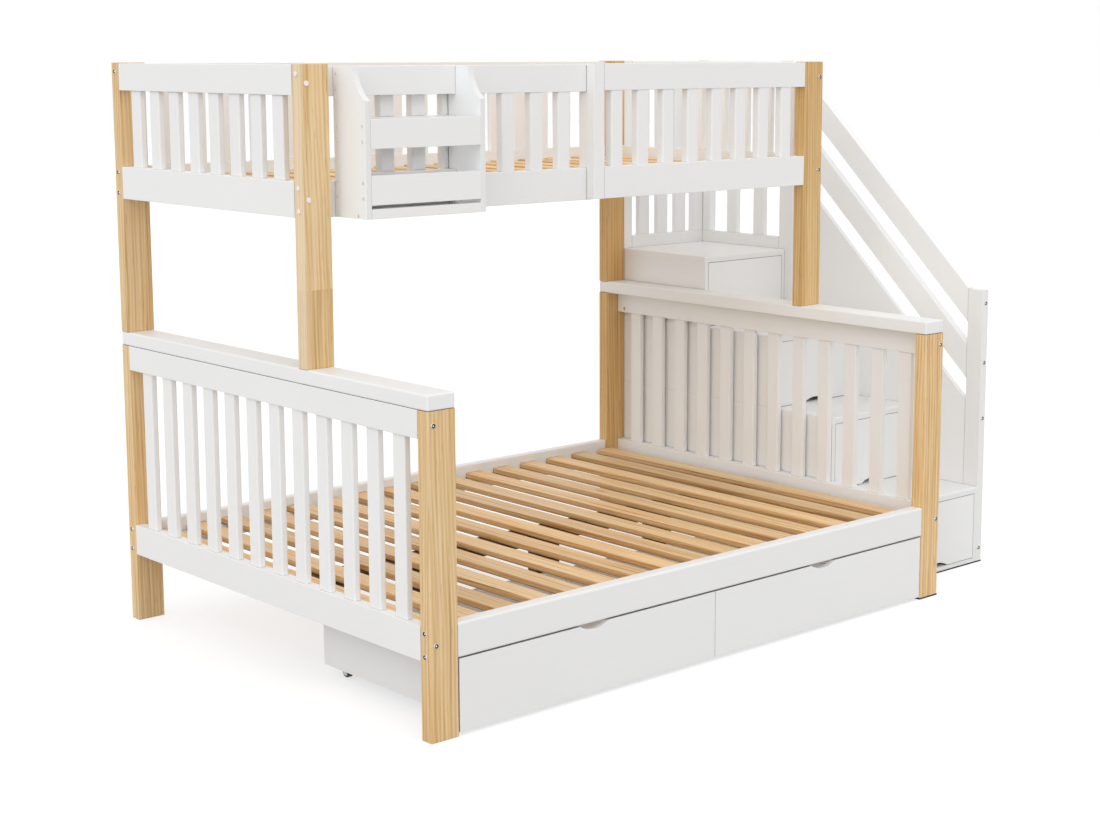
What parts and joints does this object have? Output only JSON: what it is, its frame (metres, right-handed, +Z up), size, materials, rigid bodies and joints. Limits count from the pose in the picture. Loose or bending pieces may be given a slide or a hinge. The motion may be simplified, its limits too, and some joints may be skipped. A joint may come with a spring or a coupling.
{
  "type": "bunk bed with storage stairs",
  "caption": "Wooden bunk bed with a narrow upper bed over a wide lower one, drawer stairs at one end, rolling drawers beneath and a hanging book caddy",
  "frame": {"origin": "middle of the whole footprint, at floor level", "axes": "+X along the beds towards the stairs, +Y from the open front to the back, +Z up"},
  "size_m": [2.4254, 1.486, 1.6524],
  "materials": {
    "white_paint": "smooth satin white paint on solid wood and board",
    "pine_posts": "clear satin varnish on pine, grain along the length",
    "pine_slats": "planed bare pine, grain along the length",
    "brown_wood": "dark brown stained wood",
    "runner_wood": "waxed hardwood",
    "steel_bolts": "bright zinc plate",
    "castor_steel": "pressed zinc-plated sheet",
    "castor_plastic": "moulded black nylon"
  },
  "bodies": {
    "frame": {"bed_bolts": "steel_bolts", "caddy_back_rails": "white_paint", "caddy_front_boards": "white_paint", "caddy_screws": "steel_bolts", "caddy_shelf": "white_paint", "caddy_sides": "white_paint", "cap_boards": "white_paint", "centre_beam": "brown_wood", "centre_legs": "brown_wood", "front_guard_left_frame": "white_paint", "front_guard_right_frame": "white_paint", "front_guard_uprights": "white_paint", "handrails": "white_paint", "landing_back_guard": "white_paint", "landing_posts": "white_paint", "landing_side_guard": "white_paint", "lower_bed_slats": "pine_slats", "lower_left_end_rails": "white_paint", "lower_left_end_uprights": "white_paint", "lower_post_back_left": "pine_posts", "lower_post_back_right": "pine_posts", "lower_post_front_left": "pine_posts", "lower_post_front_right": "pine_posts", "lower_right_end_rails": "white_paint", "lower_right_end_uprights": "white_paint", "lower_side_rails": "white_paint", "lower_slat_ledgers": "white_paint", "stair_back_panel": "white_paint", "stair_base": "white_paint", "stair_bolts": "steel_bolts", "stair_drawer_runners": "runner_wood", "stair_front_post": "white_paint", "stair_landing": "white_paint", "stair_outer_panels": "white_paint", "stair_side_panels": "white_paint", "stair_treads": "white_paint", "upper_back_guard_rails": "white_paint", "upper_back_guard_uprights": "white_paint", "upper_bed_slats": "pine_slats", "upper_left_end_rails": "white_paint", "upper_left_end_uprights": "white_paint", "upper_post_back_left": "pine_posts", "upper_post_back_right": "pine_posts", "upper_post_front_left": "pine_posts", "upper_post_front_right": "pine_posts", "upper_right_end_rails": "white_paint", "upper_right_end_uprights": "white_paint", "upper_slat_ledgers": "white_paint"},
    "under_drawer_left": {"under_drawer_left": "white_paint", "castors_left": "castor_steel"},
    "under_drawer_right": {"under_drawer_right": "white_paint", "castors_right": "castor_steel"},
    "wheels_left_front": {"wheels_left_front": "castor_plastic"},
    "wheels_left_back": {"wheels_left_back": "castor_plastic"},
    "wheels_right_front": {"wheels_right_front": "castor_plastic"},
    "wheels_right_back": {"wheels_right_back": "castor_plastic"},
    "stair_drawer_1": {"stair_drawer_1": "white_paint"},
    "stair_drawer_2": {"stair_drawer_2": "white_paint"},
    "stair_drawer_3": {"stair_drawer_3": "white_paint"},
    "stair_drawer_4": {"stair_drawer_4": "white_paint"}
  },
  "joints": [
    {"name": "under_drawer_left_slide", "type": "slide", "parent": "frame", "child": "under_drawer_left", "axis": [0, -1, 0], "range_m": [0, 0.45]},
    {"name": "wheels_left_front_roll", "type": "hinge", "parent": "under_drawer_left", "child": "wheels_left_front", "pos_m": [-0.66985, -0.683, 0.0163], "axis": [1, 0, 0], "continuous": true},
    {"name": "wheels_left_back_roll", "type": "hinge", "parent": "under_drawer_left", "child": "wheels_left_back", "pos_m": [-0.66985, -0.168, 0.0163], "axis": [1, 0, 0], "continuous": true},
    {"name": "under_drawer_right_slide", "type": "slide", "parent": "frame", "child": "under_drawer_right", "axis": [0, -1, 0], "range_m": [0, 0.45]},
    {"name": "wheels_right_front_roll", "type": "hinge", "parent": "under_drawer_right", "child": "wheels_right_front", "pos_m": [0.23535, -0.683, 0.0163], "axis": [1, 0, 0], "continuous": true},
    {"name": "wheels_right_back_roll", "type": "hinge", "parent": "under_drawer_right", "child": "wheels_right_back", "pos_m": [0.23535, -0.168, 0.0163], "axis": [1, 0, 0], "continuous": true},
    {"name": "stair_drawer_1_slide", "type": "slide", "parent": "frame", "child": "stair_drawer_1", "axis": [0, -1, 0], "range_m": [0, 0.25]},
    {"name": "stair_drawer_2_slide", "type": "slide", "parent": "frame", "child": "stair_drawer_2", "axis": [0, -1, 0], "range_m": [0, 0.25]},
    {"name": "stair_drawer_3_slide", "type": "slide", "parent": "frame", "child": "stair_drawer_3", "axis": [0, -1, 0], "range_m": [0, 0.25]},
    {"name": "stair_drawer_4_slide", "type": "slide", "parent": "frame", "child": "stair_drawer_4", "axis": [0, -1, 0], "range_m": [0, 0.25]}
  ],
  "couplings": [
    {"joint": "wheels_left_front_roll", "follows": "under_drawer_left_slide", "rad_per_m": 62.5},
    {"joint": "wheels_left_back_roll", "follows": "under_drawer_left_slide", "rad_per_m": 62.5},
    {"joint": "wheels_right_front_roll", "follows": "under_drawer_right_slide", "rad_per_m": 62.5},
    {"joint": "wheels_right_back_roll", "follows": "under_drawer_right_slide", "rad_per_m": 62.5}
  ]
}
